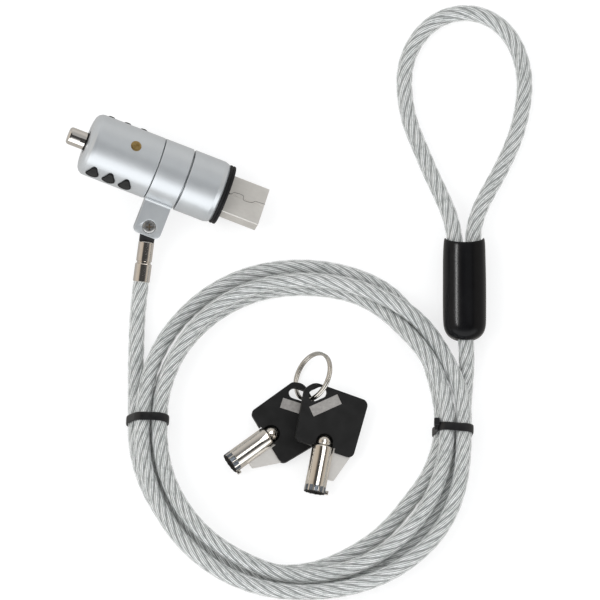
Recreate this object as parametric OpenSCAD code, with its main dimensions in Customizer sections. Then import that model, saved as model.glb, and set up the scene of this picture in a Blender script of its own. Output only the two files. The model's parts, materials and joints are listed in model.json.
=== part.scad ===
// Laptop cable lock with a USB-A shaped plug, a swivel clevis, a coiled wire
// rope with an anchor loop, and two tubular keys on a split ring.
// Everything lies on z = 0. Lengths are in millimetres.

/* [Lock head] */
// Outer diameter of the barrel
barrel_d = 18.2; // [17.8:0.1:18.6]
// Length of the rear housing behind the collar
rear_len = 20.75; // [20.5:0.05:23]
// Width of the swivel collar along the barrel
collar_w = 8.6; // [8.4:0.1:8.8]
// Length of the nose housing in front of the collar
nose_len = 10.8; // [10.5:0.05:11.2]
// Thickness of the black gasket ring on the nose
gasket_t = 1.75; // [1:0.05:2]
// Diameter of the chrome key post
post_d = 5.1; // [5:0.05:5.2]
// How far the key post sticks out behind the barrel
post_out = 5.6; // [5:0.1:6]

/* [USB plug] */
// Width of the plug shell
plug_w = 12; // [11.9:0.05:12.1]
// Thickness of the plug shell
plug_t = 4.5; // [4.4:0.05:4.6]
// Length of the plug shell in front of the gasket
plug_out = 11.3; // [11:0.1:12]
// Wall of the folded plug shell
plug_wall = 0.4; // [0.3:0.05:0.45]

/* [Clevis and cable end] */
// Distance of the clevis screw from the barrel axis
screw_r = 16.2; // [16:0.1:16.6]
// Gap between the two clevis ears
ear_gap = 2.6; // [2.5:0.1:2.8]
// Thickness of one clevis ear
ear_t = 1.2; // [1:0.1:1.4]
// Diameter of the cross-head screw's head
screw_head_d = 3.6; // [3.4:0.1:3.8]
// Diameter of the two-step ferrule
ferrule_d = 4.8; // [4.7:0.05:4.9]

/* [Cable] */
// Outer diameter of the jacketed wire rope
cable_d = 4.8; // [4.7:0.05:4.9]
// Inner radius of the coil of cable
coil_r_in = 38.2; // [38:0.1:38.6]
// Outer radius of the coil of cable
coil_r_out = 49.4; // [49:0.1:49.6]
// Height of the top of the coil of cable
coil_top = 10.6; // [10:0.1:11]
// Outer diameter of the sleeve on the anchor loop
sleeve_d = 12.7; // [12.5:0.1:12.9]
// Length of the sleeve on the anchor loop
sleeve_len = 30; // [29.5:0.1:30]

/* [Keys] */
// Thickness of a key's bow
bow_t = 2; // [1.8:0.1:2.1]
// Outer diameter of a key's tubular shank
shank_d = 6.1; // [6:0.05:6.2]
// Bore of a key's tubular shank
shank_bore = 5.25; // [5.2:0.05:5.3]
// Length of a key's shank
shank_len = 16.4; // [15.5:0.1:17]
// Radius of the middle of the split ring's wire
ring_r = 7; // [6.8:0.1:7.2]

/* [Hidden] */

// Where the origin sits in the layout below
org = [-23.81, -4.13];

// Placing of the lock head: a point on its axis, and its turn, tilt and rolls
head_at = [-37, 34, 11.7];
head_yaw = -19;
head_tilt = 11.2;
body_roll = -11.5;
collar_roll = 14;
// Middle of the collar along the barrel
collar_x = -0.45;
// Turn of the cable end about the clevis screw
lug_turn = 13.6;

R = barrel_d / 2;
half = collar_w / 2;
x_seam1 = collar_x - half - 0.25;
x_seam2 = collar_x + half + 0.5;
x_rear = x_seam1 - rear_len;
x_nose = x_seam2 + nose_len;
x_gasket = x_nose + gasket_t;
x_plug = x_gasket + plug_out;
bore_r = 6.5;
hub_r = 7;

// Cross-section of the coil and its ties
coil_at = [0, -39.2];
coil_low = 0.85;
coil_round = 3.4;
tie_t = 0.8;
tie_w = 2.6;

// Route of the lead, from the ferrule to the coil
lead_pts = [
  [-45.33, 4.38, 3.55], [-45.85, 0, 2.95], [-46.2, -5, 2.6], [-46.55, -12, 2.6],
  [-46.7, -20, 2.6], [-46.6, -27.5, 2.6]
];
// Route of the anchor loop, out of the coil, through the sleeve and round
loop_pts = [
  [46.6, -27, 3.2], [47.4, -22, 4], [47.5, -17, 5.3], [47, -11.5, 6.2],
  [45.8, -5, 6.4], [44.6, 1.5, 6.4], [44.45, 9, 6.4], [44.4, 17, 6.2],
  [41.8, 26, 5], [37.5, 36.5, 3.6], [33.4, 47, 2.7], [30.5, 56.5, 2.4],
  [29.9, 65, 2.4], [31.7, 73, 2.4], [35.8, 79.5, 2.4], [41.4, 83.8, 2.4],
  [47.7, 85.3, 2.4], [54, 83.7, 2.4], [59.4, 79, 2.4], [63.1, 72, 2.4],
  [64.5, 64, 2.4], [63.7, 55.5, 2.4], [61.3, 46.5, 2.7], [56.6, 36, 3.6],
  [51.7, 26, 5], [49.4, 17, 6.2], [49.35, 11, 6.4], [49.35, 5.5, 6.4]
];

// Placing of the two keys: root of the shank, and roll, pitch and turn
front_key_at = [7.1, -41.85, 6];
front_key_turn = [-14, 5.5, -100.9];
back_key_at = [-6.9, -39.38, 3.2];
back_key_turn = [-4.5, -1.5, -143.1];
split_ring_at = [3.65, -24.2, 6.05];
split_ring_turn = [-9.5, -46.8, 0];

// ---- helpers ----

// Everything is laid out about org, then moved to the origin
module lay() { translate([-org[0], -org[1], 0]) children(); }

// The lock head turns as one about its own X axis, which runs to the plug
module head(roll) {
  lay() translate(head_at) rotate([roll, head_tilt, head_yaw]) children();
}

// The collar and its clevis turn together on the barrel
module swivel() { head(collar_roll) translate([collar_x, 0, 0]) children(); }

// The cable end turns about the clevis screw; -Y runs along the cable
module lug() {
  swivel() translate([0, -screw_r, 0]) rotate([0, 0, lug_turn]) children();
}

// A straight cylinder along X
module rod_x(r, x0, x1, fn = 64) {
  translate([x0, 0, 0]) rotate([0, 90, 0]) cylinder(r = r, h = x1 - x0, $fn = fn);
}

// A solid of revolution about X from [x, radius] corners
module turned_x(pts, fn = 72) {
  rotate([0, 90, 0]) rotate_extrude($fn = fn)
    polygon([for (p = pts) [p[1], p[0]]]);
}

// Corner points of a polygon with each corner rounded: [x, y, radius]
function unit(v) = v / norm(v);
function round_corner(a, b, c, r, n = 7) =
  let (u = unit(a - b), v = unit(c - b),
       half_ang = acos(u * v) / 2,
       d = r / tan(half_ang),
       m = b + unit(u + v) * (r / sin(half_ang)),
       p = b + u * d, q = b + v * d,
       a0 = atan2(p[1] - m[1], p[0] - m[0]),
       a1 = atan2(q[1] - m[1], q[0] - m[0]),
       sweep = ((a1 - a0 + 540) % 360) - 180)
  [for (i = [0:n]) m + r * [cos(a0 + sweep * i / n), sin(a0 + sweep * i / n)]];
function rounded(c) =
  [for (i = [0:len(c) - 1])
    let (n = len(c),
         a = [c[(i + n - 1) % n][0], c[(i + n - 1) % n][1]],
         b = [c[i][0], c[i][1]],
         d = [c[(i + 1) % n][0], c[(i + 1) % n][1]])
    each round_corner(a, b, d, c[i][2])];

// A tube swept along a route, with flat ends
function flow(p, i) =
  i == 0 ? unit(p[1] - p[0]) :
  i == len(p) - 1 ? unit(p[i] - p[i - 1]) : unit(p[i + 1] - p[i - 1]);
module swept(p, r, sides = 10, first = undef) {
  rings = [for (i = [0:len(p) - 1])
    let (t = (i == 0 && first != undef) ? first : flow(p, i),
         s = unit(cross(t, [0, 0, 1])),
         u = cross(s, t))
    each [for (k = [0:sides - 1])
      p[i] + r * (cos(360 * k / sides) * s + sin(360 * k / sides) * u)]];
  n = len(p);
  faces = concat(
    [[for (k = [0:sides - 1]) k]],
    [for (i = [0:n - 2]) for (k = [0:sides - 1])
      [i * sides + k, (i + 1) * sides + k,
       (i + 1) * sides + (k + 1) % sides, i * sides + (k + 1) % sides]],
    [[for (k = [sides - 1:-1:0]) (n - 1) * sides + k]]);
  polyhedron(points = rings, faces = faces, convexity = 6);
}

// ---- lock head, fixed pieces ----

// One pointed grip pad seen from outside, its point towards the brass pin
module pad_outline() {
  polygon(rounded([[-0.1, 3.6, 0.85], [-2.1, -1.2, 0.7], [0.1, -3.1, 2.2], [2.15, -0.7, 1.3]]));
}
module pad_prisms(low, high) {
  for (row = [[-87, -1], [81, 1]]) for (x = [-21.35, -16.4, -11.45])
    rotate([row[0], 0, 0]) translate([x, 0, low])
      linear_extrude(height = high - low) scale([1, row[1]]) pad_outline();
}

module rear_housing() {
  color("silver") head(body_roll) difference() {
    turned_x([
      [x_rear, 3.3], [x_rear, R - 2.3], [x_rear + 0.25, R - 1.4],
      [x_rear + 0.8, R - 0.6], [x_rear + 1.6, R - 0.12], [x_rear + 2.4, R],
      [x_seam1 - 0.15, R], [x_seam1, R - 0.15], [x_seam1, bore_r],
      [x_rear + 3.6, bore_r], [x_rear + 3.6, 3.3]]);
    // seat of the brass pin
    translate([-12.75, 0, 0]) cylinder(r = 1.55, h = R + 1, $fn = 40);
    // pockets under the grip pads
    pad_prisms(R - 1.3, R + 2);
  }
}

module nose_housing() {
  color("silver") head(body_roll) difference() {
    turned_x([
      [x_seam1 - 2.1, 5], [x_seam1 - 2.1, bore_r - 0.02], [x_seam1, bore_r - 0.02],
      [x_seam1, hub_r], [x_seam2, hub_r], [x_seam2, R - 0.15], [x_seam2 + 0.15, R],
      [x_nose - 1.6, R], [x_nose - 0.5, R - 0.35], [x_nose, R - 0.75],
      [x_nose, 1.35], [x_seam2, 1.35], [x_seam2, 5]]);
    // pocket for the plug
    translate([x_nose - 4, -plug_w / 2, -plug_t / 2]) cube([6, plug_w, plug_t]);
  }
}

module gasket_ring() {
  color([0.08, 0.08, 0.08]) head(body_roll) difference() {
    turned_x([[x_nose, 0], [x_nose, 8.75], [x_gasket - 0.3, 8.75],
              [x_gasket, 8.45], [x_gasket, 0]]);
    translate([x_nose - 1, -plug_w / 2, -plug_t / 2]) cube([4, plug_w, plug_t]);
  }
}

module plug_shell() {
  color([0.78, 0.77, 0.75]) head(body_roll) difference() {
    translate([x_nose - 4, 0, 0]) rotate([90, 0, 90])
      linear_extrude(height = x_plug - x_nose + 4) polygon(rounded([
        [-plug_w / 2, -plug_t / 2, 0.5], [plug_w / 2, -plug_t / 2, 0.5],
        [plug_w / 2, plug_t / 2, 0.5], [-plug_w / 2, plug_t / 2, 0.5]]));
    translate([x_nose - 5, -plug_w / 2 + plug_wall, -plug_t / 2 + plug_wall])
      cube([30, plug_w - 2 * plug_wall, plug_t - 2 * plug_wall]);
    // windows on the far face that the claw's teeth come through
    for (y = [-3.4, 1]) translate([x_plug - 6.9, y, -plug_t / 2 - 1])
      cube([4.6, 2.4, 2]);
    // fine fold seam along the near face
    translate([x_gasket, -0.06, plug_t / 2 - 0.12]) cube([plug_out + 1, 0.12, 1]);
  }
}

module plug_block() {
  color([0.15, 0.15, 0.16]) head(body_roll) difference() {
    union() {
      // rear stopper that fills the shell, with a cheek each side of the claw
      translate([x_nose - 4, -plug_w / 2 + plug_wall, -plug_t / 2 + plug_wall])
        cube([8.2, plug_w - 2 * plug_wall, plug_t - 2 * plug_wall]);
      // tongue under which the claw lies
      translate([x_nose, -plug_w / 2 + plug_wall, -0.55])
        cube([x_plug - x_nose - 1, plug_w - 2 * plug_wall, 0.7]);
    }
    // way for the push rod and the claw
    rod_x(1.35, x_nose - 5, x_nose + 3);
    translate([x_nose - 5, -3.7, -2.5]) cube([12, 7.4, 1.95]);
    // seats of the claw's pivot pin
    translate([x_nose + 3, -5.4, -1.15]) rotate([-90, 0, 0])
      cylinder(r = 0.3, h = 10.8, $fn = 40);
  }
}

module retaining_pin() {
  color([0.67, 0.55, 0.31]) head(body_roll) translate([-12.75, 0, 0])
    rotate_extrude($fn = 40)
      polygon([[0, 4.6], [1.55, 4.6], [1.55, R - 0.02], [1.1, R + 0.12], [0, R + 0.18]]);
}

module grip_pads() {
  color([0.2, 0.2, 0.21]) head(body_roll) intersection() {
    pad_prisms(R - 1.3, R + 2);
    rod_x(R + 0.45, x_rear, x_seam1, 96);
  }
}

module lock_cylinder() {
  color([0.72, 0.6, 0.33]) head(body_roll) difference() {
    turned_x([
      [x_rear + 3.62, 3.3], [x_rear + 3.62, bore_r - 0.02], [x_seam1 - 2.15, bore_r - 0.02],
      [x_seam1 - 2.15, post_d / 2 + 0.05], [-16, post_d / 2 + 0.05], [-16, 3.3]]);
    translate([-12.75, 0, 4.6]) cylinder(r = 1.55, h = 5, $fn = 40);
    for (k = [0:6]) rotate([k * 360 / 7 + 25, 0, 0]) translate([-16.1, 0, 3.2])
      rotate([0, 90, 0]) cylinder(r = 0.46, h = 5.1, $fn = 32);
  }
}

module tumbler_pins() {
  color([0.8, 0.68, 0.4]) head(body_roll)
    for (k = [0:6]) rotate([k * 360 / 7 + 25, 0, 0]) translate([-15.9, 0, 3.2])
      rotate([0, 90, 0]) cylinder(r = 0.44, h = 4.8, $fn = 32);
}

module claw_pivot_pin() {
  color("gray") head(body_roll) translate([x_nose + 3, -5.4, -1.15])
    rotate([-90, 0, 0]) cylinder(r = 0.3, h = 10.8, $fn = 40);
}

// ---- lock head, moving pieces ----

module key_post() {
  color([0.85, 0.83, 0.8]) head(body_roll) difference() {
    turned_x([
      [x_rear - post_out, 0], [x_rear - post_out, post_d / 2 - 0.5],
      [x_rear - post_out + 0.4, post_d / 2 - 0.1], [x_rear - post_out + 0.8, post_d / 2],
      [x_rear - 0.6, post_d / 2], [x_rear - 0.6, post_d / 2 - 0.2],
      [x_rear - 0.1, post_d / 2 - 0.2], [x_rear - 0.1, post_d / 2],
      [x_seam1 - 2, post_d / 2], [x_seam1 - 2, 4], [x_seam1 - 0.8, 4], [x_seam1 - 0.8, 0]]);
    // index notch near the foot of the post
    translate([x_rear - 2, 0, 0]) rotate([28, 0, 0]) translate([0, -0.6, post_d / 2 - 0.5])
      cube([2, 1.2, 2]);
  }
}

module push_rod() {
  color("darkgray") head(body_roll) rod_x(1.2, x_seam1 - 0.8, x_nose - 1.8, 40);
}

// Return spring: closed rings about the push rod, bedded end to end
module return_spring() {
  color("dimgray") head(body_roll) difference() {
    rod_x(3.1, x_seam1 - 0.8, x_seam2, 48);
    rod_x(2.5, x_seam1 - 2, x_seam2 + 1, 48);
  }
}

module locking_claw() {
  color([0.6, 0.6, 0.62]) head(body_roll) difference() {
    union() {
      // cross bar round the pivot
      translate([x_nose + 2.4, -3.5, -1.62]) cube([1.4, 7, 0.95]);
      for (y = [-3.2, 1.2]) {
        translate([x_nose + 3.6, y, -1.4]) cube([x_plug - 2.9 - x_nose - 3.6, 2, 0.7]);
        // tooth
        translate([x_plug - 4.3, y, -1.8]) cube([1.4, 2, 0.6]);
      }
    }
    translate([x_nose + 3, -6, -1.15]) rotate([-90, 0, 0])
      cylinder(r = 0.35, h = 12, $fn = 24);
  }
}

// ---- swivel ----

module ear(z0, z1) {
  translate([0, 0, z0]) linear_extrude(height = z1 - z0)
    polygon(rounded([[-3.95, -7.7, 0.05], [-3.95, -screw_r - 2.7, 1.7],
                     [3.95, -screw_r - 2.7, 1.7], [3.95, -7.7, 0.05]]));
}

module swivel_collar() {
  zo = ear_gap / 2 + ear_t;
  color("silver") swivel() difference() {
    union() {
      turned_x([[-half, hub_r + 0.05], [-half, R - 0.15], [-half + 0.15, R],
                [half - 0.15, R], [half, R - 0.15], [half, hub_r + 0.05]]);
      ear(-zo, -ear_gap / 2);
      ear(ear_gap / 2, zo);
      // web that joins the ears at the barrel
      translate([-3.95, -11.6, -zo]) cube([7.9, 3.9, 2 * zo]);
    }
    rod_x(hub_r + 0.05, -half - 1, half + 1);
    translate([0, -screw_r, -5]) cylinder(r = 1.12, h = 10, $fn = 40);
    // counterbore and countersink of the screw head
    translate([0, -screw_r, zo - 0.7]) cylinder(r = screw_head_d / 2 + 0.02, h = 2, $fn = 40);
    translate([0, -screw_r, zo - 0.35]) cylinder(r1 = screw_head_d / 2, r2 = screw_head_d / 2 + 0.7, h = 0.7, $fn = 40);
  }
}

module clevis_screw() {
  zo = ear_gap / 2 + ear_t;
  color([0.75, 0.75, 0.77]) swivel() translate([0, -screw_r, 0]) difference() {
    rotate_extrude($fn = 40) polygon([
      [0, -zo - 0.9], [1.1, -zo - 0.9], [1.1, zo - 0.7],
      [screw_head_d / 2, zo - 0.7], [screw_head_d / 2, zo - 0.12],
      [screw_head_d / 2 - 0.35, zo + 0.08], [0, zo + 0.16]]);
    for (a = [20, 110]) rotate([0, 0, a]) translate([-0.95, -0.22, zo - 0.45])
      cube([1.9, 0.44, 2]);
  }
}

module clevis_nut() {
  zo = ear_gap / 2 + ear_t;
  color([0.6, 0.6, 0.62]) swivel() translate([0, -screw_r, -zo - 1.1]) difference() {
    cylinder(r = 2.1, h = 1.1, $fn = 6);
    translate([0, 0, -1]) cylinder(r = 1.12, h = 4, $fn = 40);
  }
}

// ---- cable end ----

module cable_eyelet() {
  color([0.12, 0.12, 0.12]) lug() difference() {
    union() {
      translate([0, 0, -1.1]) cylinder(r = 2.9, h = 2.2, $fn = 48);
      translate([-2.1, -4.3, -1.1]) cube([4.2, 4.3, 2.2]);
      rotate([90, 0, 0]) translate([0, 0, 4.1]) cylinder(r = 1.7, h = 4.2, $fn = 40);
    }
    translate([0, 0, -2]) cylinder(r = 1.75, h = 4, $fn = 40);
  }
}

module eyelet_bush() {
  color([0.05, 0.05, 0.05]) lug() difference() {
    translate([0, 0, -1.15]) cylinder(r = 1.75, h = 2.3, $fn = 40);
    translate([0, 0, -2]) cylinder(r = 1.16, h = 4, $fn = 40);
  }
}

module cable_ferrule() {
  color([0.86, 0.86, 0.85]) lug() rotate([90, 0, 0]) rotate_extrude($fn = 64)
    polygon([
      [1.7, 4.3], [ferrule_d / 2 - 0.35, 4.3], [ferrule_d / 2 - 0.15, 4.5],
      [ferrule_d / 2 - 0.15, 9.9], [ferrule_d / 2 - 0.4, 10.1], [ferrule_d / 2 - 0.4, 10.5],
      [ferrule_d / 2, 10.8], [ferrule_d / 2, 15.7], [ferrule_d / 2 - 0.2, 15.9],
      [1.9, 15.9], [1.9, 9.3], [1.7, 9.3]]);
}

module rope_end() {
  color([0.6, 0.62, 0.62]) lug() rotate([90, 0, 0])
    translate([0, 0, 9.4]) cylinder(r = 1.88, h = 6.5, $fn = 32);
}

// ---- cable ----

module cable_lead() {
  color([0.68, 0.7, 0.7]) lay() swept(lead_pts, cable_d / 2, 10, [-0.13, -0.95, -0.28]);
}

module coil_section() {
  w = coil_r_out - coil_r_in;
  h = coil_top - coil_low;
  translate([coil_r_in, coil_low]) {
    translate([coil_round, 0]) square([w - 2 * coil_round, h]);
    translate([0, coil_round]) square([w, h - 2 * coil_round]);
    for (x = [coil_round, w - coil_round]) for (y = [coil_round, h - coil_round])
      translate([x, y]) circle(r = coil_round, $fn = 32);
  }
}

module cable_coil() {
  color([0.68, 0.7, 0.7]) lay() translate([coil_at[0], coil_at[1], 0])
    rotate_extrude($fn = 120) coil_section();
}

module cable_loop() {
  color([0.68, 0.7, 0.7]) lay() swept(loop_pts, cable_d / 2, 10);
}

module loop_sleeve() {
  r = sleeve_d / 2;
  color([0.04, 0.04, 0.04]) lay() translate([46.9, 16.7, r + 0.05]) rotate([90, 0, 0])
    rotate_extrude($fn = 72) polygon([
      [r - 0.9, 0], [r - 0.35, 0], [r, 0.5], [r, sleeve_len - 4.2],
      [r - 0.3, sleeve_len - 2.6], [r - 1.1, sleeve_len - 1.3], [r - 2.3, sleeve_len - 0.4],
      [r - 3.4, sleeve_len], [2.5, sleeve_len], [2.5, sleeve_len - 2.4],
      [r - 0.9, sleeve_len - 4.6]]);
}

module loop_crimp() {
  color([0.7, 0.7, 0.72]) lay() translate([46.9, 14, 6.4]) rotate([90, 0, 0]) difference() {
    union() {
      for (x = [-2.45, 2.45]) translate([x, 0, 0]) cylinder(r = 2.9, h = 10, $fn = 40);
      translate([-2.45, -2.9, 0]) cube([4.9, 5.8, 10]);
    }
    for (x = [-2.45, 2.45]) translate([x, 0, -1]) cylinder(r = 2.42, h = 12, $fn = 40);
  }
}

// A tie is a short piece of ring whose hole is the coil's section
module tie(a, nub) {
  w = coil_r_out - coil_r_in + 2 * tie_t;
  h = coil_top - coil_low + 2 * tie_t;
  c = coil_round + tie_t;
  sweep = tie_w / 44 * 57.3;
  lay() translate([coil_at[0], coil_at[1], 0]) rotate([0, 0, a - sweep / 2]) {
    rotate_extrude(angle = sweep, $fn = 120) difference() {
      translate([coil_r_in - tie_t, coil_low - tie_t]) {
        translate([c, 0]) square([w - 2 * c, h]);
        translate([0, c]) square([w, h - 2 * c]);
        for (x = [c, w - c]) for (y = [c, h - c]) translate([x, y]) circle(r = c, $fn = 32);
      }
      coil_section();
    }
    if (nub) rotate([0, 0, sweep / 2]) translate([coil_r_in - tie_t - 1, -0.9, 6])
      cube([1.2, 3.6, 2.4]);
  }
}
module cable_tie_left() { color([0.05, 0.05, 0.05]) tie(177, false); }
module cable_tie_right() { color([0.05, 0.05, 0.05]) tie(-1, true); }

// ---- keys ----

module at_front_key() { lay() translate(front_key_at) rotate(front_key_turn) children(); }
module at_back_key() { lay() translate(back_key_at) rotate(back_key_turn) children(); }

module fin_outline() {
  polygon([[-5, -1.5], [-5, 6.6], [4.5, 8.1], [11.9, 4.8], [11.9, 0], [6, -1.5]]);
}

module bow() {
  difference() {
    translate([0, 0, -bow_t / 2]) linear_extrude(height = bow_t) difference() {
      polygon(rounded([
        [-14.6, -6.2, 3.2], [-12.2, -8.5, 2], [2.8, -8.5, 1.5], [4.6, 8.9, 1.7],
        [-12.6, 10.4, 1.9]]));
      // slot for the split ring, across the corner
      translate([-11.5, -4.5]) rotate(126) {
        square([2.6, 3.2], center = true);
        for (x = [-1.3, 1.3]) translate([x, 0]) circle(r = 1.6, $fn = 32);
      }
      // notch round the foot of the shank
      translate([1.65, 0]) circle(r = 2.5, $fn = 48);
      translate([1.65, -2.5]) square([3, 5]);
      translate([2.6, -3.4]) square([6, 6.8]);
    }
    // pocket of the metal fin
    translate([0, 0, -0.5]) linear_extrude(height = 1) fin_outline();
    // recess of the blank plate
    translate([-8.7, -1.8, bow_t / 2 - 0.3]) rotate([0, 0, 126])
      translate([-4.5, -1.5, 0]) cube([9, 3, 1]);
  }
}

module plate() {
  translate([-8.7, -1.8, bow_t / 2 - 0.3]) rotate([0, 0, 126])
    translate([-4.5, -1.5, 0]) cube([9, 3, 0.38]);
}

module shank() {
  r = shank_d / 2;
  difference() {
    rotate([0, 90, 0]) rotate_extrude($fn = 56) polygon([
      [0, -0.4], [0.7, -0.3], [1.25, -0.02], [1.72, 0.4], [2.05, 0.95], [2.22, 1.6],
      [2.25, 2.3], [2.5, 2.6], [2.85, 2.85], [r, 3.3],
      [r, shank_len - 0.25], [r - 0.1, shank_len],
      [shank_bore / 2, shank_len], [shank_bore / 2, shank_len - 9], [0, shank_len - 9]]);
    // shallow cuts in a band near the open end
    for (k = [0:6]) rotate([k * 360 / 7, 0, 0])
      translate([shank_len - 3.3, -0.55, r - 0.16]) cube([1.5, 1.1, 1]);
    // seat of the fin
    translate([-5, -1.5, -0.5]) cube([3.9, 3, 1]);
  }
  // locating nub at the tip
  translate([shank_len - 1.3, r - 0.1, -0.5]) cube([1.1, 0.9, 1]);
}

module fin() {
  difference() {
    translate([0, 0, -0.5]) linear_extrude(height = 1) fin_outline();
    rotate([0, 90, 0]) translate([0, 0, -1.2]) cylinder(r = shank_d / 2, h = 16, $fn = 56);
    translate([-1.2, -4, -2]) cube([16, 4, 4]);
  }
}

module front_key_bow() { color([0.13, 0.13, 0.13]) at_front_key() bow(); }
module front_key_plate() { color([0.72, 0.7, 0.67]) at_front_key() plate(); }
module front_key_shank() { color([0.85, 0.82, 0.76]) at_front_key() shank(); }
module front_key_fin() { color([0.8, 0.78, 0.74]) at_front_key() fin(); }
module back_key_bow() { color([0.13, 0.13, 0.13]) at_back_key() bow(); }
module back_key_plate() { color([0.72, 0.7, 0.67]) at_back_key() plate(); }
module back_key_shank() { color([0.85, 0.82, 0.76]) at_back_key() shank(); }
module back_key_fin() { color([0.8, 0.78, 0.74]) at_back_key() fin(); }

module split_ring() {
  color([0.75, 0.73, 0.68]) lay() translate(split_ring_at) rotate(split_ring_turn)
    rotate_extrude($fn = 96) polygon(rounded([
      [ring_r - 0.45, -0.65, 0.2], [ring_r + 0.45, -0.65, 0.2],
      [ring_r + 0.45, 0.65, 0.2], [ring_r - 0.45, 0.65, 0.2]]));
}

rear_housing();
nose_housing();
gasket_ring();
plug_shell();
plug_block();
retaining_pin();
grip_pads();
lock_cylinder();
tumbler_pins();
claw_pivot_pin();
key_post();
push_rod();
return_spring();
locking_claw();
swivel_collar();
clevis_screw();
clevis_nut();
cable_eyelet();
eyelet_bush();
cable_ferrule();
rope_end();
cable_lead();
cable_coil();
cable_loop();
loop_sleeve();
loop_crimp();
cable_tie_left();
cable_tie_right();
split_ring();
front_key_bow();
front_key_plate();
front_key_shank();
front_key_fin();
back_key_bow();
back_key_plate();
back_key_shank();
back_key_fin();
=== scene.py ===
import bpy
import bmesh
import json
import math
import numpy as np
from mathutils import Euler, Matrix, Vector

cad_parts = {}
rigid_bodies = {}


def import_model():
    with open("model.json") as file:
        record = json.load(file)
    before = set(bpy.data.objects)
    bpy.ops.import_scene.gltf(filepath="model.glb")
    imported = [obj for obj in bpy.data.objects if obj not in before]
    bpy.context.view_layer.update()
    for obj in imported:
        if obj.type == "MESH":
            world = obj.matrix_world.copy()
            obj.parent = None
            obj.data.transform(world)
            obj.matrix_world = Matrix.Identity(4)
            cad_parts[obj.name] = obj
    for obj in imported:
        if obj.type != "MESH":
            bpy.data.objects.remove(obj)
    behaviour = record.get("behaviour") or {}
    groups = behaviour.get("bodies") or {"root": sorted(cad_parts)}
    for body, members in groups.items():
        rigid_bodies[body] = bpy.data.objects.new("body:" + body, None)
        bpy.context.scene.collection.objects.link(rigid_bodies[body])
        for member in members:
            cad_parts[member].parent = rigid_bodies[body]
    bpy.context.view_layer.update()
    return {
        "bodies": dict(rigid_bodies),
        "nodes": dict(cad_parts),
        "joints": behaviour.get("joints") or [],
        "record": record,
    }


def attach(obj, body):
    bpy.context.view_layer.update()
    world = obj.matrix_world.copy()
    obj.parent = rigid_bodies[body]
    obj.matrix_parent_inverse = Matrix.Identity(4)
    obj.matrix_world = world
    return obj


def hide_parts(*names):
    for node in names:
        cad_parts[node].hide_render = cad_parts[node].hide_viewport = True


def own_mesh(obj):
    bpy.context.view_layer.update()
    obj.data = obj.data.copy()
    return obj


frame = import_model()
NODES = frame["nodes"]
scene = bpy.context.scene
MM = 0.001

# ---------------------------------------------------------------------------
# Placing, as in the CAD layout (millimetres, moved by SHIFT, then to metres)
# ---------------------------------------------------------------------------
SHIFT = Vector((23.81, 4.13, 0.0))
R = 9.1
X_SEAM1, X_SEAM2, X_REAR, X_NOSE, X_GASKET, X_PLUG = -5.0, 4.35, -25.75, 15.15, 16.9, 28.2
COLLAR_X = -0.45
SCALE = Matrix.Scale(MM, 4)


def turned(place, turn):
    e = Euler([math.radians(a) for a in turn], "XYZ")
    return SCALE @ Matrix.Translation(Vector(place) + SHIFT) @ e.to_matrix().to_4x4()


HEAD_B = turned((-37, 34, 11.7), (-11.5, 11.2, -19))
HEAD_C = turned((-37, 34, 11.7), (14, 11.2, -19)) @ Matrix.Translation((COLLAR_X, 0, 0))
LUG = HEAD_C @ Matrix.Translation((0, -16.2, 0)) @ Matrix.Rotation(math.radians(13.6), 4, "Z")
KEY_F = turned((7.1, -41.85, 6), (-14, 5.5, -100.9))
KEY_K = turned((-6.9, -39.38, 3.2), (-4.5, -1.5, -143.1))
RING = turned((3.65, -24.2, 6.05), (-9.5, -46.8, 0))
LAYOUT = SCALE @ Matrix.Translation(SHIFT)

# ---------------------------------------------------------------------------
# Camera: 75 degrees above the floor, straight from the front
# ---------------------------------------------------------------------------
cam_data = bpy.data.cameras.new("camera")
cam = bpy.data.objects.new("camera", cam_data)
scene.collection.objects.link(cam)
scene.camera = cam
LOOK = Vector((23.81, 4.13, 0.0)) * MM
DIST = 3.0
elev = math.radians(75)
back = Vector((0, -math.cos(elev), math.sin(elev)))
cam.location = LOOK + back * DIST
cam.rotation_mode = "QUATERNION"
cam.rotation_quaternion = (-back).to_track_quat("-Z", "Y")
cam_data.sensor_width = 36
cam_data.lens = 36 / (0.17143 / DIST)
cam_data.clip_start, cam_data.clip_end = 0.05, 100

# ---------------------------------------------------------------------------
# Mesh helpers
# ---------------------------------------------------------------------------


def make(name, verts, faces, mats, body, smooth=True, index=None, matrix=None):
    """A mesh piece from points and faces, with its materials, riding on a body."""
    me = bpy.data.meshes.new(name)
    if matrix is not None:
        v = np.asarray(verts, float)
        m = np.array(matrix, float)
        verts = v @ m[:3, :3].T + m[:3, 3]
    me.from_pydata([tuple(p) for p in np.asarray(verts, float)], [], [tuple(int(i) for i in f) for f in faces])
    if index is not None:
        me.polygons.foreach_set("material_index", np.asarray(index, np.int32))
    for p in me.polygons:
        p.use_smooth = smooth
    me.validate()
    me.update()
    ob = bpy.data.objects.new(name, me)
    scene.collection.objects.link(ob)
    for m in (mats if isinstance(mats, (list, tuple)) else [mats]):
        me.materials.append(m)
    fix_normals(me)
    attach(ob, body)
    return ob


def fix_normals(me):
    bm = bmesh.new()
    bm.from_mesh(me)
    bmesh.ops.recalc_face_normals(bm, faces=bm.faces)
    bm.to_mesh(me)
    bm.free()


def sharp(ob, angle=35):
    """Smooth shading that stays crisp where faces meet at more than that angle."""
    bm = bmesh.new()
    bm.from_mesh(ob.data)
    lim = math.radians(angle)
    for e in bm.edges:
        e.smooth = len(e.link_faces) == 2 and e.calc_face_angle(0) < lim
    bm.to_mesh(ob.data)
    bm.free()
    return ob


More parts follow.
